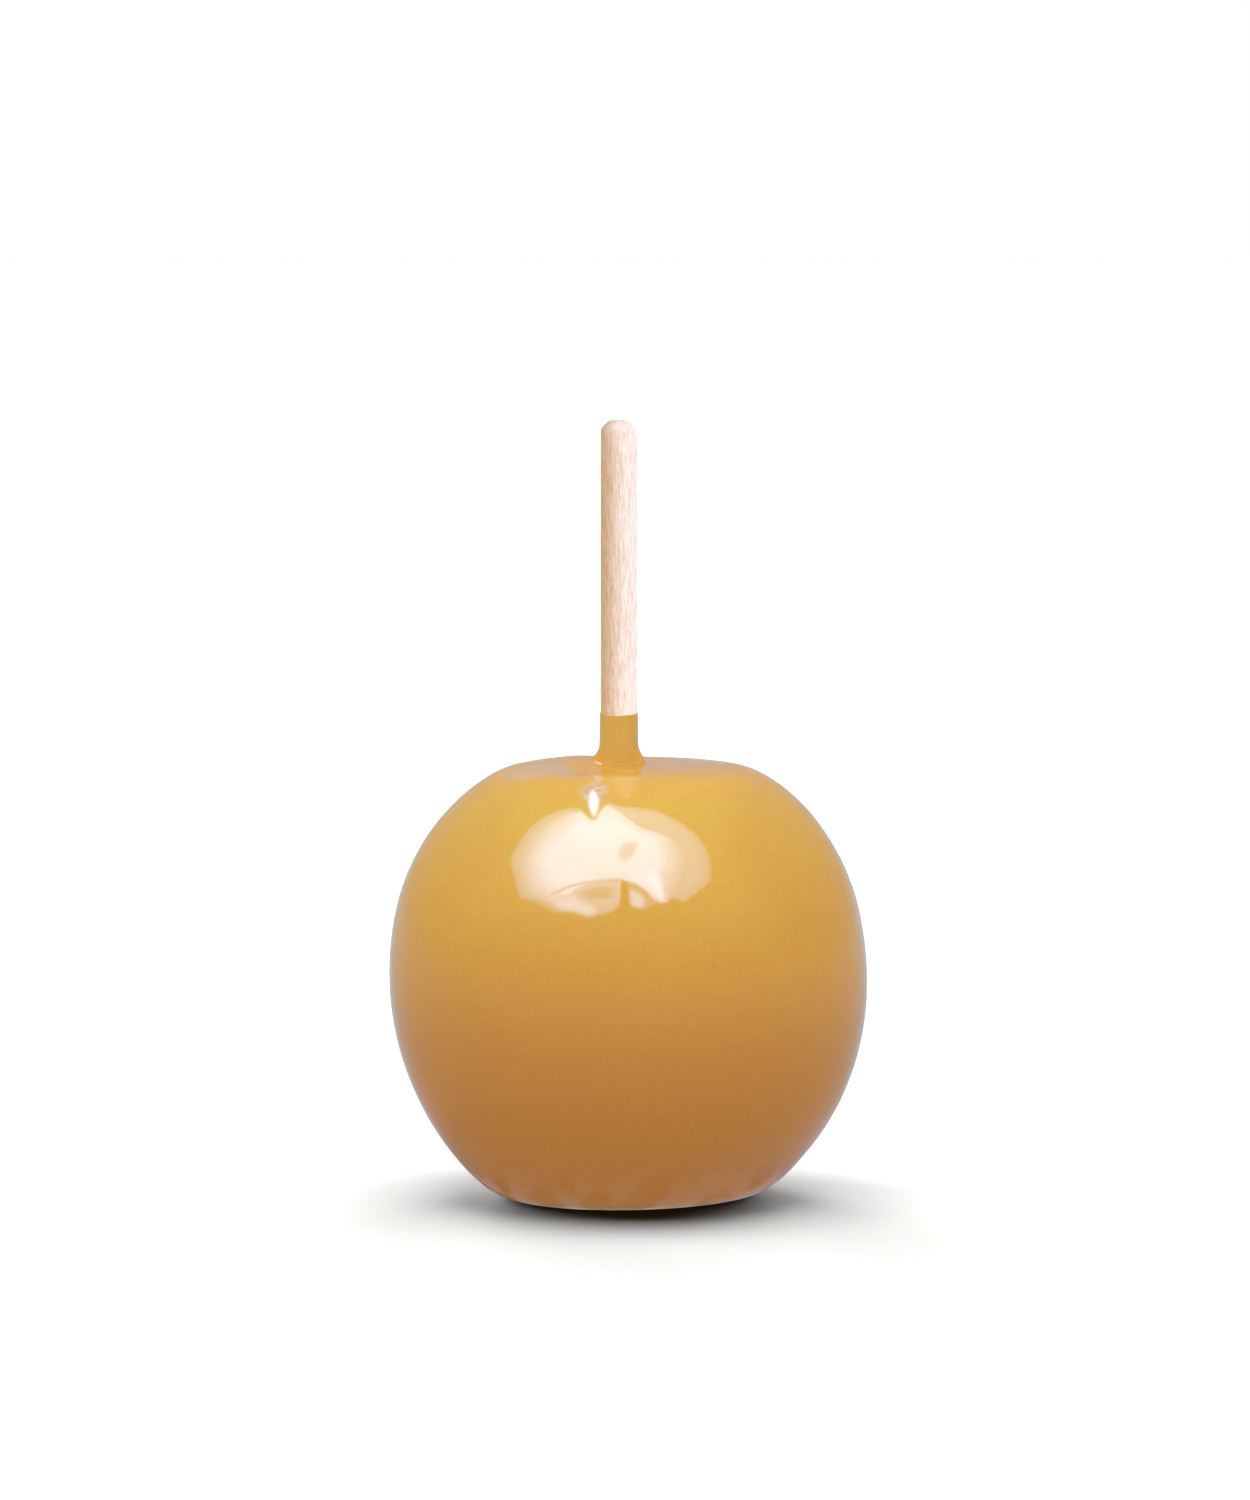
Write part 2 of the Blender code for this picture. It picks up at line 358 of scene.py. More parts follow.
# %% [markdown]
# ## A skin that is not quite even
#
# Caramel sets thick in one place and thin in the next. The swell is only a few hundredths of a
# millimetre, and it shows in nothing but the edges of reflections, but without it the coat looks
# like moulded plastic. A Subdivision Surface makes enough points to carry it, and a Displace
# modifier with a cloud pattern raises them. A vertex group keeps the foot and the sleeve out.
# Afterwards the crown is pushed once more, because more caramel stayed on its left, and less of
# it in front of the stick.

# %% Smooth the coat and make it uneven
SWELL_WIDTH = 11 * MM
SWELL_DEPTH = 0.12 * MM
FOOT_CLEAR = 1 * MM
FOOT_FADE = 8 * MM
CROWN_CLEAR = 0.2 * MM
CROWN_FADE = 3 * MM
apply_modifier(coat, "SUBSURF", levels=3, render_levels=3)

skin = coat.vertex_groups.new(name="skin")
for point in coat.data.vertices:
    off_foot = soft_step((point.co.z - FOOT_CLEAR) / FOOT_FADE)
    off_crown = soft_step((CROWN_HEIGHT + CROWN_CLEAR - point.co.z) / CROWN_FADE)
    skin.add([point.index], off_foot * off_crown, "REPLACE")

swell = bpy.data.textures.new("coat_swell", "CLOUDS")
swell.noise_scale = SWELL_WIDTH
swell.noise_depth = 1
apply_modifier(
    coat,
    "DISPLACE",
    texture=swell,
    texture_coords="LOCAL",
    direction="NORMAL",
    mid_level=0.5,
    strength=SWELL_DEPTH,
    vertex_group="skin",
)
print(coat.name, "has", len(coat.data.polygons), "faces")

# %% Raise and lower the crown
# Each one's place, reach and rise, in mm.
SKIN_PUSHES = (
    ((-10, 9, 76.3), 10, 0.42),
    ((-8, -12, 76.1), 8, -0.8),
    ((2, -13, 76.1), 7, -0.25),
    ((-8.3, -3.5, 76.3), 5, 0.45),
    ((-6.5, 9, 76.2), 7, 0.28),
)
bpy.ops.object.mode_set(mode="EDIT")
for place, reach, rise in SKIN_PUSHES:
    push(coat, place, reach, (0, 0, rise))
bpy.ops.object.mode_set(mode="OBJECT")
coat.data.shade_smooth()
crown_top = max(point.co.z for point in coat.data.vertices if point.co.x > CROWN_RADIUS / 2)
print("on the right, the crown reaches", round(crown_top / MM, 2), "mm")

# %% [markdown]
# ## The stick
#
# The stick is a quarter-inch birch dowel, four and a half inches long, sawn off and tumbled so
# that its ends are rounded. It could be spun from its outline, but a cylinder is as round from
# the start. Its end edges are bevelled, its sides are cut into short lengths, and a faint cloud
# pattern makes it as slightly out of round as a dowel is.

# %% Model the dowel
STICK_TOP = 136.2 * MM
STICK_LENGTH = 114.3 * MM
STICK_FOOT = STICK_TOP - STICK_LENGTH
STICK_SIDES = 64
STICK_CUTS = 24
END_ROUNDING = 1.7 * MM
END_INSETS = (0.35 * MM, 0.5 * MM)
FLAT = 0.001 * MM
bpy.ops.object.select_all(action="DESELECT")
bpy.ops.mesh.primitive_cylinder_add(
    vertices=STICK_SIDES,
    radius=STICK_RADIUS,
    depth=STICK_LENGTH,
    location=(STICK_X, 0, STICK_TOP - STICK_LENGTH / 2),
)
bpy.ops.object.transform_apply(location=True, rotation=True, scale=True)
stick = start_piece("birch_stick")
mesh = bmesh.from_edit_mesh(stick.data)
bpy.ops.mesh.select_all(action="DESELECT")
for edge in mesh.edges:
    edge.select = abs(edge.verts[0].co.z - edge.verts[1].co.z) < FLAT
bmesh.update_edit_mesh(stick.data)
bpy.ops.mesh.bevel(offset=END_ROUNDING, segments=6, profile=0.33, affect="EDGES")
print(stick.name, "has", len(mesh.faces), "faces after the bevel")
for cut in range(1, STICK_CUTS):
    height = STICK_FOOT + END_ROUNDING + cut * (STICK_LENGTH - 2 * END_ROUNDING) / STICK_CUTS
    bpy.ops.mesh.select_all(action="SELECT")
    bpy.ops.mesh.bisect(plane_co=(STICK_X, 0, height), plane_no=(0, 0, 1))
for end_height in (STICK_TOP, STICK_FOOT):
    select_points(stick, lambda place: abs(place.z - end_height) < FLAT)
    for inset in END_INSETS:
        bpy.ops.mesh.inset(thickness=inset)
bpy.ops.object.mode_set(mode="OBJECT")

# %% Make the dowel slightly out of round
WANDER_LENGTH = 9 * MM
WANDER_DEPTH = 0.05 * MM
out_of_round = bpy.data.textures.new("dowel_wander", "CLOUDS")
out_of_round.noise_scale = WANDER_LENGTH
apply_modifier(
    stick,
    "DISPLACE",
    texture=out_of_round,
    texture_coords="LOCAL",
    direction="NORMAL",
    mid_level=0.5,
    strength=WANDER_DEPTH,
)
stick.data.shade_smooth()
print(stick.name, "has", len(stick.data.polygons), "faces")

# %% [markdown]
# ## Colours and nodes
#
# A colour that is picked on the screen is stored in sRGB, and the renderer works with linear
# light. One function turns a hex value to linear, and one function adds a node, sets its values
# and links its inputs, so that a material reads from top to bottom like a recipe.


# %% Helpers for materials
def linear(hex_colour):
    """A linear RGBA colour from an sRGB hex value such as "C8924A"."""
    shares = [int(hex_colour[place : place + 2], 16) / 255 for place in (0, 2, 4)]
    return [s / 12.92 if s <= 0.04045 else ((s + 0.055) / 1.055) ** 2.4 for s in shares] + [1]


def add_node(tree, kind, values=None, links=None, **settings):
    """Adds a node. values are by input name or number, and so are links, which are output sockets."""
    node = tree.nodes.new(kind)
    for name, value in settings.items():
        setattr(node, name, value)
    for socket, value in (values or {}).items():
        node.inputs[socket].default_value = value
    for socket, source in (links or {}).items():
        tree.links.new(source, node.inputs[socket])
    return node


def new_material(name):
    """A new material, its node tree and its Principled shader."""
    made = bpy.data.materials.new(name)
    made.use_nodes = True
    return made, made.node_tree, made.node_tree.nodes["Principled BSDF"]


def set_ramp(node, stops):
    """Gives a ColorRamp node these (place, hex colour) stops."""
    ramp = node.color_ramp
    while len(ramp.elements) < len(stops):
        ramp.elements.new(0.5)
    for element, (place, colour) in zip(ramp.elements, stops):
        element.position = place
        element.color = linear(colour)


# %% [markdown]
# ## Caramel
#
# Cooked sugar, butter and cream, poured warm into a deep pan for dipping: on the fruit it sets to
# a soft solid with an index of refraction of about 1.5 and a surface as smooth as syrup. Light
# goes a millimetre or two into it, which takes the hardness out of the shading. The coat is thin
# and golden over the shoulder, and it gets thicker, browner and deeper towards the foot, where it
# drained. So the colour follows the height, and slow noise shifts it a little, as runs do. The same
# colour is also painted shade: lighter at the top and darker towards the foot, as the light from
# above falls. A finer noise clouds it, and air bubbles just under the surface show as pale specks
# a third of a millimetre wide.

# %% Colour the caramel by its height
RUN_WIDTH = 14 * MM
RUN_SHIFT = 0.05
caramel, tree, shader = new_material("cooked_caramel_poured")
place = add_node(tree, "ShaderNodeTexCoord").outputs["Object"]
height = add_node(tree, "ShaderNodeSeparateXYZ", links={0: place}).outputs["Z"]
runs = add_node(
    tree,
    "ShaderNodeTexNoise",
    values={"Scale": 1 / RUN_WIDTH, "Detail": 3, "Roughness": 0.6},
    links={"Vector": place},
)
level = add_node(
    tree, "ShaderNodeMapRange", values={"From Max": LIP_HEIGHT}, links={"Value": height}
)
centred = add_node(
    tree, "ShaderNodeMath", values={1: 0.5}, links={0: runs.outputs["Fac"]}, operation="SUBTRACT"
)
shift = add_node(
    tree, "ShaderNodeMath", values={1: RUN_SHIFT}, links={0: centred.outputs[0]}, operation="MULTIPLY"
)
depth_and_shade_level = add_node(
    tree, "ShaderNodeMath", links={0: level.outputs[0], 1: shift.outputs[0]}, operation="ADD"
)
# Painted shade as well as deeper caramel: the ramp is lighter at the top and darker towards the foot.
depth_and_shade_colour = add_node(tree, "ShaderNodeValToRGB", links={"Fac": depth_and_shade_level.outputs[0]})
# From the foot, at 0, to the sleeve's lip, at 1. The crown is at 0.895.
set_ramp(
    depth_and_shade_colour,
    (
        (0.0, "AC8052"),
        (0.035, "B6783C"),
        (0.2, "B97B2D"),
        (0.34, "C18436"),
        (0.49, "CF963C"),
        (0.645, "DAA948"),
        (0.83, "E2B64B"),
        (0.885, "E9B54C"),
        (0.905, "E1A74B"),
    ),
)
print(caramel.name, "has", len(tree.nodes), "nodes so far")

# %% Cloud it and add its air bubbles
CLOUD_WIDTH = 1.1 * MM
BUBBLE_SPACING = 2.0 * MM
cloud = add_node(
    tree,
    "ShaderNodeTexNoise",
    values={"Scale": 1 / CLOUD_WIDTH, "Detail": 5, "Roughness": 0.7},
    links={"Vector": place},
)
cloud_tone = add_node(tree, "ShaderNodeValToRGB", links={"Fac": cloud.outputs["Fac"]})
set_ramp(cloud_tone, ((0.3, "F8F6F3"), (0.7, "FFFFFF")))
clouded = add_node(
    tree,
    "ShaderNodeMix",
    values={0: 1},
    links={6: depth_and_shade_colour.outputs["Color"], 7: cloud_tone.outputs["Color"]},
    data_type="RGBA",
    blend_type="MULTIPLY",
)
bubbles = add_node(
    tree, "ShaderNodeTexVoronoi", values={"Scale": 1 / BUBBLE_SPACING}, links={"Vector": place}
)
# The specks' radii are shares of the bubbles' spacing.
bubble_spot = add_node(
    tree,
    "ShaderNodeMapRange",
    values={"From Min": 0.085, "From Max": 0.03, "To Max": 0.26},
    links={"Value": bubbles.outputs["Distance"]},
)
with_bubbles = add_node(
    tree,
    "ShaderNodeMix",
    values={7: linear("F2DDB0")},
    links={0: bubble_spot.outputs[0], 6: clouded.outputs[2]},
    data_type="RGBA",
)
print(caramel.name, "has", len(tree.nodes), "nodes so far")

# %% [markdown]
# ## Froth, painted shade and reflections, and the deeper run
#
# A few marks are left from the dipping. In front of the stick a patch of froth stayed: bubbles
# packed side by side, pale and a millimetre wide. Both upper shoulders are painted a deeper tone,
# as painted shade. On the crown's left a lilac grey is painted in, a painted reflection of the
# tent, with a deeper run beside the sleeve, and two small pale dabs in front of the stick are
# painted highlights. Each mark could be painted by hand. Here it is a soft egg-shaped spot, given
# by its middle and its size in millimetres, because a spot in the coat's own space stays in its
# place and keeps its size from every side.


# %% Spots on the coat
# The share of a spot's size over which it has its full strength.
SPOT_CORE = 0.55


def soft_spot(tree, place, middle, size, strength):
    """An egg-shaped spot: this strength in its core, fading out to 0 at its size. In mm."""
    moved = add_node(
        tree,
        "ShaderNodeMapping",
        values={"Location": [c * MM for c in middle], "Scale": [c * MM for c in size]},
        links={"Vector": place},
        vector_type="TEXTURE",
    )
    away = add_node(tree, "ShaderNodeVectorMath", links={0: moved.outputs[0]}, operation="LENGTH")
    return add_node(
        tree,
        "ShaderNodeMapRange",
        values={"From Min": 1, "From Max": SPOT_CORE, "To Max": strength},
        links={"Value": away.outputs["Value"]},
        interpolation_type="SMOOTHSTEP",
    ).outputs[0]


FROTH_SPACING = 0.9 * MM
froth_bubbles = add_node(
    tree, "ShaderNodeTexVoronoi", values={"Scale": 1 / FROTH_SPACING}, links={"Vector": place}
)
froth_colour = add_node(tree, "ShaderNodeValToRGB", links={"Fac": froth_bubbles.outputs["Distance"]})
set_ramp(froth_colour, ((0.1, "F3DCBC"), (0.45, "E0BF98"), (0.8, "D6B186")))
with_froth = add_node(
    tree,
    "ShaderNodeMix",
    links={
        0: soft_spot(tree, place, (-5.9, -24.3, 73.5), (3.1, 4.2, 3.2), 0.8),
        6: with_bubbles.outputs[2],
        7: froth_colour.outputs["Color"],
    },
    data_type="RGBA",
)
# Painted shade for the upper shoulders.
SHOULDER_SHADE = "C98732"
# A painted reflection of the lilac tent.
TENT_REFLECTION = "CDB9BC"
DEEP_RUN = "E3A02E"
# Painted highlights.
PAINTED_GLINT = "F2CC9A"
colour = with_froth.outputs[2]
for middle, size, strength, tone in (
    # Painted shade on the right and the left upper shoulder.
    ((28, -12, 60), (22, 30, 24), 0.25, SHOULDER_SHADE),
    ((-30, -12, 62), (18, 26, 20), 0.12, SHOULDER_SHADE),
    # A painted reflection of the tent on the crown's left.
    ((-15.5, -10, 75.8), (9, 7, 3), 0.4, TENT_REFLECTION),
    ((-8.4, -9, 75.8), (2.6, 8, 3), 0.5, DEEP_RUN),
    # Two painted highlights in front of the stick.
    ((0, -13, 76), (2.4, 2.6, 1.5), 0.5, PAINTED_GLINT),
    ((-5.1, -19.5, 75), (1.2, 2.2, 1.5), 0.6, PAINTED_GLINT),
):
    colour = add_node(
        tree,
        "ShaderNodeMix",
        values={7: linear(tone)},
        links={0: soft_spot(tree, place, middle, size, strength), 6: colour},
        data_type="RGBA",
    ).outputs[2]
print(caramel.name, "has", len(tree.nodes), "nodes so far")

# %% [markdown]
# ## The pale edge at the foot
#
# Along the coat's edge at the foot a pale line half a millimetre high is painted, a painted
# reflection of the white table there. It shows at the front of the foot, and noise breaks it up.
# The finish is then set for the whole coat: nearly as smooth as a mirror, with some of the light
# let in and scattered inside.

# %% Paint the pale edge and set the finish
# Painted reflection: a pale line along the front of the foot's edge, for the white table mirrored there.
PALE_EDGE_TOP = 1.0 * MM
PALE_EDGE_FULL = 0.4 * MM
PALE_EDGE_GRAIN = 1.6 * MM
feathered = add_node(
    tree,
    "ShaderNodeMapRange",
    values={"From Min": PALE_EDGE_TOP, "From Max": PALE_EDGE_FULL},
    links={"Value": height, "To Max": soft_spot(tree, place, (-6, -17, 0), (22, 12, 3), 1)},
)
pale_edge_noise = add_node(
    tree,
    "ShaderNodeTexNoise",
    values={"Scale": 1 / PALE_EDGE_GRAIN, "Detail": 3},
    links={"Vector": place},
)
pale_edge_breakup = add_node(
    tree,
    "ShaderNodeMapRange",
    values={"From Min": 0.35, "From Max": 0.65, "To Min": 0.2},
    links={"Value": pale_edge_noise.outputs["Fac"]},
)
edge_share = add_node(
    tree, "ShaderNodeMath", links={0: feathered.outputs[0], 1: pale_edge_breakup.outputs[0]}, operation="MULTIPLY"
)
with_edge = add_node(
    tree,
    "ShaderNodeMix",
    values={7: linear("EBD2A8")},
    links={0: edge_share.outputs[0], 6: colour},
    data_type="RGBA",
)
tree.links.new(with_edge.outputs[2], shader.inputs["Base Color"])
shader.inputs["Roughness"].default_value = 0.06
shader.inputs["IOR"].default_value = 1.45
shader.inputs["Subsurface Weight"].default_value = 0.3
shader.inputs["Subsurface Radius"].default_value = (1, 0.5, 0.2)
shader.inputs["Subsurface Scale"].default_value = 1.5 * MM
coat.data.materials.append(caramel)
print(caramel.name, "has", len(tree.nodes), "nodes")

# %% [markdown]
# ## Birch
#
# Birch is a pale, close-grained wood. Turned to a dowel and left bare, it has a dull surface with
# fine fibres along its length and short darker flecks. A picture of wood wrapped round the stick
# would show its seam. Noise that is stretched along the stick has none and draws both: one for
# the fibres and another, cut off sharply, for the flecks. Real fibres are a few hundredths of a
# millimetre wide, too fine to show in the picture, so they are drawn 0.3 mm wide.

# %% Make the birch
FIBRE_WIDTH = 0.3 * MM
FLECK_WIDTH = 0.24 * MM
GRAIN_DEPTH = 0.05 * MM
birch, tree, shader = new_material("birch_turned_bare")
place = add_node(tree, "ShaderNodeTexCoord").outputs["Object"]
along = add_node(tree, "ShaderNodeMapping", values={"Scale": (1, 1, 0.1)}, links={"Vector": place})
fibres = add_node(
    tree,
    "ShaderNodeTexNoise",
    values={"Scale": 1 / FIBRE_WIDTH, "Detail": 4, "Roughness": 0.65},
    links={"Vector": along.outputs[0]},
)
fibre_colour = add_node(tree, "ShaderNodeValToRGB", links={"Fac": fibres.outputs["Fac"]})
set_ramp(fibre_colour, ((0.34, "E3B182"), (0.5, "F1C596"), (0.66, "F9D4AC")))
fleck_place = add_node(tree, "ShaderNodeMapping", values={"Scale": (1, 1, 0.2)}, links={"Vector": place})
flecks = add_node(
    tree,
    "ShaderNodeTexNoise",
    values={"Scale": 1 / FLECK_WIDTH},
    links={"Vector": fleck_place.outputs[0]},
)
fleck_spot = add_node(
    tree,
    "ShaderNodeMapRange",
    values={"From Min": 0.56, "From Max": 0.68, "To Max": 0.5},
    links={"Value": flecks.outputs["Fac"]},
)
with_flecks = add_node(
    tree,
    "ShaderNodeMix",
    values={7: linear("D09C66")},
    links={0: fleck_spot.outputs[0], 6: fibre_colour.outputs["Color"]},
    data_type="RGBA",
)
grain = add_node(
    tree,
    "ShaderNodeBump",
    values={"Strength": 0.2, "Distance": GRAIN_DEPTH},
    links={"Height": fibres.outputs["Fac"]},
)
tree.links.new(with_flecks.outputs[2], shader.inputs["Base Color"])
tree.links.new(grain.outputs[0], shader.inputs["Normal"])
shader.inputs["Roughness"].default_value = 0.65
shader.inputs["Specular IOR Level"].default_value = 0.25
stick.data.materials.append(birch)
print(birch.name, "has", len(tree.nodes), "nodes")

# %% [markdown]
# ## Joining the pieces to the CAD part
#
# Each piece rides on the part's one body and stands for the solid that it replaces, which is hidden.

# %% Ride and replace
for piece, node, slot in ((coat, "coated_apple", "caramel"), (stick, "stick", "birch")):
    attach(piece, "root")
    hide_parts(node)
    print(piece.name, "stands for", node)

# %% [markdown]
# ## The table
#
# The apple stands on a plain white table, and everything beyond its soft shadow is burnt out to
# pure white. The shadow is the table's alone: light linking names what a lamp may reach. One wide
# lamp hangs nearly overhead. Two stand high and four stand low, all of them behind the apple to
# its left and right. Together they throw a shadow that is darkest along the front of the foot and
# spreads forward and to both sides. A last lamp, amber and in front, stands for the light that the
# caramel throws into its own shadow.

# %% Make the table
bpy.ops.object.select_all(action="DESELECT")
bpy.ops.mesh.primitive_plane_add(size=60, location=(0, 0, 0))
table = bpy.context.object
table.name = "table"
table.visible_glossy = False
table.visible_diffuse = False
table.visible_shadow = False
table_top, tree, shader = new_material("white_table")
# So dark that the tent's light hardly lifts the shadow. The table's own strong lamps whiten it.
shader.inputs["Base Color"].default_value = linear("1B1B1B")
shader.inputs["Roughness"].default_value = 1
shader.inputs["Specular IOR Level"].default_value = 0
table.data.materials.append(table_top)
print(table.name, "is", round(table.dimensions.x), "m wide")


# %% Light the table
def soft_light(name, azimuth, rise, spread, strength, reaches, colour="FFFFFF"):
    """A far lamp as wide as spread degrees, at this azimuth (0 is the camera's side) and rise."""
    lamp = bpy.data.objects.new(name, bpy.data.lights.new(name, "SUN"))
    bpy.context.scene.collection.objects.link(lamp)
    lamp.data.angle = math.radians(spread)
    lamp.data.energy = strength
    lamp.data.color = linear(colour)[:3]
    turn, up = math.radians(azimuth), math.radians(rise)
    way = Vector((math.sin(turn) * math.cos(up), -math.cos(turn) * math.cos(up), math.sin(up)))
    lamp.rotation_euler = way.to_track_quat("Z", "Y").to_euler()
    lamp.visible_glossy = False
    reached = bpy.data.collections.new(name)
    for piece in reaches:
        reached.objects.link(piece)
    lamp.light_linking.receiver_collection = reached


TABLE_LIGHT = "FFFEFC"
CARAMEL_GLOW = "FFB300"
# Each one's name, azimuth, rise, spread and strength. A low lamp grazes the table, so it is strong.
for name, azimuth, rise, spread, strength in (
    ("table_lamp_top", 0, 84, 50, 142),
    ("table_lamp_left", 240, 68, 30, 35),
    ("table_lamp_low_left", 240, 18, 30, 97),
    ("table_lamp_right", 120, 60, 30, 43),
    ("table_lamp_low_right", 140, 8, 30, 130),
    ("table_lamp_back_left", 200, 8, 30, 405),
    ("table_lamp_back_right", 160, 8, 30, 265),
):
    soft_light(name, azimuth, rise, spread, strength, (table,), TABLE_LIGHT)
soft_light("table_bounce", 0, 25, 90, 6, (table,), CARAMEL_GLOW)

# %% [markdown]
# ## The tent
#
# A bright tent lights the apple evenly from all round. What mirrors in the caramel is calmer than
# white, because a real tent has seams and stands in it and a dark room behind the camera: lilac
# grey below and overhead, bluish just under the horizon and a warmer grey above it. The camera
# itself sees a plain white backdrop.

# %% Light the tent
TENT_LIGHT = 0.6
MIRRORED = "B9BBC4"
MIRRORED_LOW = "B6CAD8"
MIRRORED_BEHIND = "BDB2B0"
world = bpy.data.worlds.new("light_tent")
bpy.context.scene.world = world
world.use_nodes = True
tree = world.node_tree
ray = add_node(tree, "ShaderNodeLightPath")
tent = add_node(tree, "ShaderNodeBackground", values={"Color": (1, 1, 1, 1), "Strength": TENT_LIGHT})
way = add_node(tree, "ShaderNodeTexCoord").outputs["Generated"]
way_up = add_node(tree, "ShaderNodeSeparateXYZ", links={0: way}).outputs["Z"]
rise = add_node(tree, "ShaderNodeMapRange", values={"From Min": -1}, links={"Value": way_up})
surroundings = add_node(tree, "ShaderNodeValToRGB", links={"Fac": rise.outputs[0]})
# 0 is straight down, 0.5 the horizon and 1 straight up.
set_ramp(
    surroundings,
    (
        (0.29, MIRRORED),
        (0.43, MIRRORED_LOW),
        (0.483, MIRRORED_LOW),
        (0.535, MIRRORED_BEHIND),
        (0.67, MIRRORED_BEHIND),
        (0.854, MIRRORED),
    ),
)
mirrored = add_node(tree, "ShaderNodeBackground", links={"Color": surroundings.outputs["Color"]})
backdrop = add_node(tree, "ShaderNodeBackground", values={"Color": (1, 1, 1, 1)})
lit_or_mirrored = add_node(
    tree,
    "ShaderNodeMixShader",
    links={0: ray.outputs["Is Glossy Ray"], 1: tent.outputs[0], 2: mirrored.outputs[0]},
)
seen = add_node(
    tree,
    "ShaderNodeMixShader",
    links={0: ray.outputs["Is Camera Ray"], 1: lit_or_mirrored.outputs[0], 2: backdrop.outputs[0]},
)
tree.links.new(seen.outputs[0], tree.nodes["World Output"].inputs["Surface"])
bpy.context.scene.view_settings.view_transform = "Standard"
bpy.context.scene.view_settings.look = "None"
print(world.name, "has", len(tree.nodes), "nodes")

# %% [markdown]
# ## What the foot mirrors
#
# The low part of the coat mirrors the table in its own shadow: brown under the foot, blotches of
# shadow and light just beyond it, an even grey after that, and six centimetres out the tent
# again. The real table could be mirrored as it is, but its tone is set for the camera. So a disc
# that only reflections can see carries these tones, just under the table's surface.

# %% Lay the mirrored table
SHADED_RADIUS = 100 * MM
SHADED_DEPTH = 0.1 * MM
FOOT_COVER = 17.5 * MM
FOOT_COVER_END = 19.5 * MM
BLOTCH_WIDTH = 8 * MM
BLOTCHES_FADE = 27 * MM
BLOTCHES_END = 34 * MM
SHADOW_MIDDLE = (-6 * MM, 0, 0)
SHADOW_FADE = 22 * MM
SHADOW_END = 58 * MM
UNDER_FOOT = "6B5638"
BLOTCH_DARK = "6A5E57"
BLOTCH_LIGHT = "A3A3AD"
EVEN_SHADOW = "8A868B"
bpy.ops.object.select_all(action="DESELECT")
bpy.ops.mesh.primitive_circle_add(
    vertices=64, radius=SHADED_RADIUS, fill_type="NGON", location=(0, 0, -SHADED_DEPTH)
)
shaded_table = bpy.context.object
shaded_table.name = "shaded_table"
shaded_table.visible_camera = False
shaded_table.visible_diffuse = False
shaded_table.visible_shadow = False
shade = bpy.data.materials.new("table_in_shadow")
shade.use_nodes = True
tree = shade.node_tree
tree.nodes.remove(tree.nodes["Principled BSDF"])
place = add_node(tree, "ShaderNodeTexCoord").outputs["Object"]
away = add_node(tree, "ShaderNodeVectorMath", links={0: place}, operation="LENGTH")
off_shadow = add_node(
    tree, "ShaderNodeVectorMath", values={1: SHADOW_MIDDLE}, links={0: place}, operation="DISTANCE"
)
blotches = add_node(
    tree, "ShaderNodeTexNoise", values={"Scale": 1 / BLOTCH_WIDTH, "Detail": 1}, links={"Vector": place}
)
blotch_tone = add_node(tree, "ShaderNodeValToRGB", links={"Fac": blotches.outputs["Fac"]})
set_ramp(blotch_tone, ((0.42, BLOTCH_DARK), (0.58, BLOTCH_LIGHT)))
past_blotches = add_node(
    tree,
    "ShaderNodeMapRange",
    values={"From Min": BLOTCHES_FADE, "From Max": BLOTCHES_END},
    links={"Value": away.outputs["Value"]},
    interpolation_type="SMOOTHSTEP",
)
evened_tone = add_node(
    tree,
    "ShaderNodeMix",
    values={7: linear(EVEN_SHADOW)},
    links={0: past_blotches.outputs[0], 6: blotch_tone.outputs["Color"]},
    data_type="RGBA",
)
out_of_shadow = add_node(
    tree,
    "ShaderNodeMapRange",
    values={"From Min": SHADOW_FADE, "From Max": SHADOW_END},
    links={"Value": off_shadow.outputs["Value"]},
    interpolation_type="SMOOTHSTEP",
)
shadowed_floor = add_node(
    tree,
    "ShaderNodeMix",
    values={7: linear(MIRRORED)},
    links={0: out_of_shadow.outputs[0], 6: evened_tone.outputs[2]},
    data_type="RGBA",
)
beyond_foot = add_node(
    tree,
    "ShaderNodeMapRange",
    values={"From Min": FOOT_COVER, "From Max": FOOT_COVER_END},
    links={"Value": away.outputs["Value"]},
)
mirrored_floor = add_node(
    tree,
    "ShaderNodeMix",
    values={6: linear(UNDER_FOOT)},
    links={0: beyond_foot.outputs[0], 7: shadowed_floor.outputs[2]},
    data_type="RGBA",
)
lit = add_node(tree, "ShaderNodeEmission", links={"Color": mirrored_floor.outputs[2]})
tree.links.new(lit.outputs[0], tree.nodes["Material Output"].inputs[0])
shaded_table.data.materials.append(shade)
print(shaded_table.name, "has", len(tree.nodes), "nodes")

# %% [markdown]
# ## Lamps for the apple and the stick
#
# The coat has a wide lamp in front and another behind, and two faint ones brighten its flanks from
# below. The stick has a weak warm lamp in front, a strong one on the right and one behind, so its
# left side stays darker. The last two are blue, because bare birch is a warm colour and its lit
# side comes out nearly white in the photograph.

# %% Light the coat and the stick
WARM_WHITE = "F6F2E0"
SIDE_BLUE = "8AB2FF"
BACK_BLUE = "A4C8FF"
for name, azimuth, rise, spread, strength in (
    ("coat_front", 0, 35, 130, 1.6),
    ("coat_back", 180, 12, 130, 1.0),
    ("coat_left", 270, -40, 80, 0.3),
    ("coat_right", 90, -40, 80, 0.3),
):
    soft_light(name, azimuth, rise, spread, strength, (coat,))
soft_light("stick_front", 0, 10, 60, 0.5, (stick,), WARM_WHITE)
soft_light("stick_side", 57, 10, 50, 6.1, (stick,), SIDE_BLUE)
soft_light("stick_back", 165, 15, 60, 3.2, (stick,), BACK_BLUE)

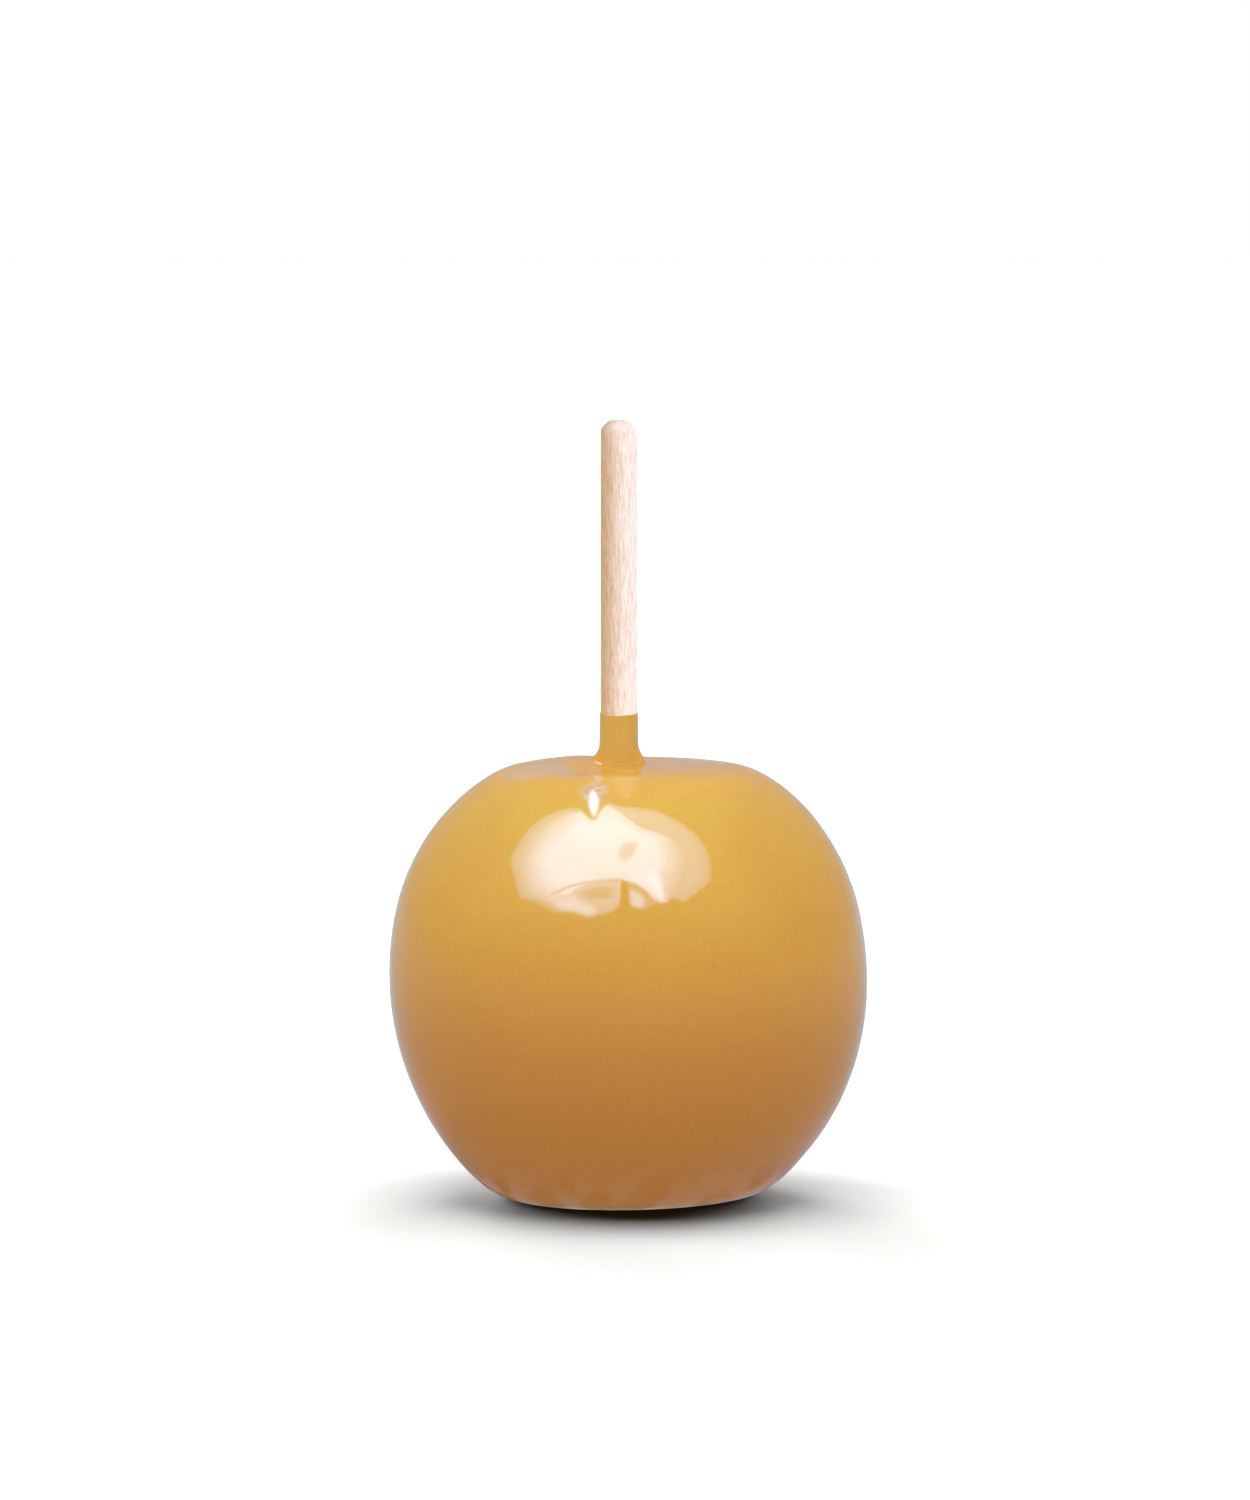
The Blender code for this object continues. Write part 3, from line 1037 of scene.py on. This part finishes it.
# %% [markdown]
# ## The lamp in the highlight
#
# The bright patch on the shoulder is the mirror image of a large soft lamp above the camera. To
# give the patch its shape, each corner of its outline is followed backwards: from the camera
# through the photograph's pixel to the coat, off it as a mirror throws it, and on to the plane
# where the lamp hangs. The corners found there are the lamp.

# %% Trace pixels back to the lamp
LAMP_RISE = math.radians(62)
LAMP_DISTANCE = 0.9
lamp_axis = Vector((0, -math.cos(LAMP_RISE), math.sin(LAMP_RISE)))
skin_tree = BVHTree.FromPolygons(
    [point.co for point in coat.data.vertices],
    [face.vertices for face in coat.data.polygons],
)


def lamp_point(pixel, distance):
    """Where the light in this pixel of the photograph comes from, on the lamp's plane."""
    across = (pixel[0] - PHOTO_WIDTH / 2) / FOCAL_PIXELS
    down = (pixel[1] - PHOTO_HEIGHT / 2) / FOCAL_PIXELS
    sight = (camera.rotation_euler.to_matrix() @ Vector((across, -down, -1))).normalized()
    hit, _, face, _ = skin_tree.ray_cast(camera.location, sight)
    corners = [coat.data.vertices[index] for index in coat.data.polygons[face].vertices]
    shares = poly_3d_calc([corner.co for corner in corners], hit)
    normal = sum((corner.normal * share for corner, share in zip(corners, shares)), Vector())
    thrown = sight.reflect(normal.normalized())
    return intersect_line_plane(hit, hit + thrown, lamp_axis * distance, lamp_axis)


print("the lamps hang at", [round(c, 2) for c in lamp_axis * LAMP_DISTANCE])


# %% Make a panel of lamp cloth
def hang_panel(name, outline, glow, edge_glow=None, softness=0, nearer=0):
    """Hangs a glowing panel whose mirror image in the coat has this outline, in pixels.

    glow is what its image adds to the coat, and edge_glow what it adds at the outline. The two
    meet over a share softness of the way in. A panel that hangs nearer, in mm, hides what is
    behind it. A corner of the outline with a third number has that glow of its own.
    """
    distance = LAMP_DISTANCE - nearer * MM
    count = len(outline)
    rim = [Vector(corner[:2]) for corner in outline]
    middle = sum(rim, Vector((0, 0))) / count
    points = [lamp_point(pixel, distance) for pixel in rim]
    glows = [corner[2] if len(corner) > 2 else edge_glow or glow for corner in outline]
    faces = [range(count)]
    if softness:
        points += [lamp_point(pixel.lerp(middle, softness), distance) for pixel in rim]
        glows += [glow] * count
        faces = [(i, (i + 1) % count, (i + 1) % count + count, i + count) for i in range(count)]
        faces.append(range(count, 2 * count))
    mesh = bpy.data.meshes.new(name)
    mesh.from_pydata(points, [], faces)
    strengths = mesh.attributes.new("glow", "FLOAT", "POINT")
    for corner, value in enumerate(glows):
        strengths.data[corner].value = value
    panel = bpy.data.objects.new(name, mesh)
    bpy.context.scene.collection.objects.link(panel)
    panel.visible_camera = False
    panel.visible_diffuse = False
    panel.visible_shadow = False
    mesh.materials.append(panel_cloth)
    print(name, "has", count, "corners")


LAMP_COLOUR = "ADD4FF"
# The share of light that the coat mirrors where it faces the camera.
FACING_MIRROR = 0.035
panel_cloth = bpy.data.materials.new("lamp_cloth")
panel_cloth.use_nodes = True
tree = panel_cloth.node_tree
tree.nodes.remove(tree.nodes["Principled BSDF"])
glow = add_node(tree, "ShaderNodeAttribute", attribute_name="glow")
strength = add_node(
    tree,
    "ShaderNodeMath",
    values={1: 1 / FACING_MIRROR},
    links={0: glow.outputs["Fac"]},
    operation="MULTIPLY",
)
lit = add_node(
    tree,
    "ShaderNodeEmission",
    values={"Color": linear(LAMP_COLOUR)},
    links={"Strength": strength.outputs[0]},
)
tree.links.new(lit.outputs[0], tree.nodes["Material Output"].inputs[0])
print(panel_cloth.name, "has", len(tree.nodes), "nodes")

# %% [markdown]
# ## The parts of the highlight
#
# The patch is not one even glow, so it is built up in layers: a panel that hangs a millimetre
# nearer hides what is behind it. The cloth is dim at its rim. A brighter sheet hangs before it,
# brightest in the middle, with a horn at its lower right. Below that a crease in the coat draws a
# thin line like an arch, and under the arch lie two shaded hollows, each with a brighter lobe. The
# lamp's stand and hub are the darker marks in the middle, and a small spark lies above the patch.
# Each outline goes round its shape in pixels of the photograph.

# %% Hang the lamp's cloth
PATCH = (
    (510, 860), (513, 853), (519, 843), (526, 832), (540, 819), (555, 812), (570, 808), (580, 808),
    (590, 818), (598, 813), (608, 802), (616, 805), (631, 807), (650, 809), (672, 818), (689, 828),
    (700, 839), (706, 849), (711, 866), (711, 880), (696, 894), (685, 903), (676, 897), (665, 904),
    (655, 903), (642, 910), (631, 907), (629, 886), (621, 886), (620, 905), (612, 913), (590, 919),
    (574, 913), (558, 913), (546, 909), (533, 901), (519, 898), (515, 880),
)
BRIGHT_SHEET = (
    (518, 864, 0.2), (524, 850, 0.2), (534, 837, 0.25), (551, 824, 0.3), (571, 813, 0.35),
    (582, 812, 0.5), (590, 820, 0.5), (598, 815, 0.5), (607, 805, 0.4), (624, 816, 0.5),
    (640, 828, 0.5), (660, 834, 0.5), (674, 840, 0.34), (686, 856, 0.25), (684, 872, 0.25),
    (674, 888, 0.28), (666, 903, 0.4), (657, 901, 0.5), (650, 892, 0.5), (640, 885, 0.5),
    (627, 881, 0.55), (608, 881, 0.55), (588, 885, 0.5), (570, 892, 0.5), (560, 906, 0.4),
    (540, 899, 0.3), (524, 892, 0.22),
)
BRIGHT_MIDDLE = (
    (568, 838), (580, 820), (592, 826), (606, 818), (622, 822), (640, 834), (656, 840), (662, 850),
    (658, 862), (648, 858), (632, 864), (600, 868), (576, 862),
)
HORN = ((645, 868), (656, 866), (663, 884), (664, 901), (658, 899), (651, 888), (646, 882))
hang_panel("lamp_cloth", PATCH, glow=0.25, edge_glow=0.14, softness=0.12)
hang_panel("lamp_bright", BRIGHT_SHEET, glow=0.66, softness=0.38, nearer=1)
hang_panel("lamp_middle", BRIGHT_MIDDLE, glow=0.68, edge_glow=0.64, softness=0.3, nearer=2)
hang_panel("lamp_horn", HORN, glow=0.78, edge_glow=0.6, softness=0.4, nearer=3)

# %% Hang the crease, the hollows and the lobes
CREASE = (
    (551, 894), (567, 885.5), (590, 881), (610, 878.5), (623, 878.5), (623, 880.5), (610, 881),
    (590, 884), (568, 888), (553, 896),
)
LEFT_HOLLOW = (
    (572, 893), (590, 886), (606, 883), (620, 884), (620, 901), (604, 903), (590, 902), (578, 899),
)
LEFT_LOBE = (
    (551, 904), (562, 895), (574, 894), (580, 900), (594, 906), (600, 912), (588, 916), (574, 911),
    (560, 910),
)
RIGHT_HOLLOW = (
    (628, 883), (640, 886), (648, 892), (653, 902), (649, 904), (644, 896), (637, 890), (628, 888),
)
RIGHT_LOBE = ((630, 890), (637, 892), (643, 898), (645, 906), (638, 908), (632, 905))
hang_panel("lamp_fold", CREASE, glow=0.3, nearer=3)
hang_panel("lamp_shade_left", LEFT_HOLLOW, glow=0.16, edge_glow=0.36, softness=0.5, nearer=2)
hang_panel("lamp_lobe_left", LEFT_LOBE, glow=0.48, edge_glow=0.33, softness=0.4, nearer=3)
hang_panel("lamp_shade_right", RIGHT_HOLLOW, glow=0.12, nearer=3)
hang_panel("lamp_lobe_right", RIGHT_LOBE, glow=0.45, edge_glow=0.33, softness=0.4, nearer=2)

# %% Hang the stand, the hub and the spark
STAND = ((621, 881), (628, 881), (629, 908), (625, 925), (618, 925), (620, 905))
HUB = (
    (617, 857), (618, 849), (623, 843.5), (630, 840.5), (638, 841), (638, 849), (635, 856),
    (629, 861.5), (622, 862.5),
)
SPARK = (
    (593, 788), (597, 793), (600, 799), (600, 806), (598, 812), (597, 819), (592, 820), (589, 812),
    (587, 805), (588, 797),
)
hang_panel("lamp_stand", STAND, glow=0, nearer=4)
hang_panel("lamp_hub", HUB, glow=0.38, edge_glow=0.55, softness=0.5, nearer=4)
hang_panel("lamp_spark", SPARK, glow=0.85, edge_glow=0.03, softness=0.6, nearer=2)
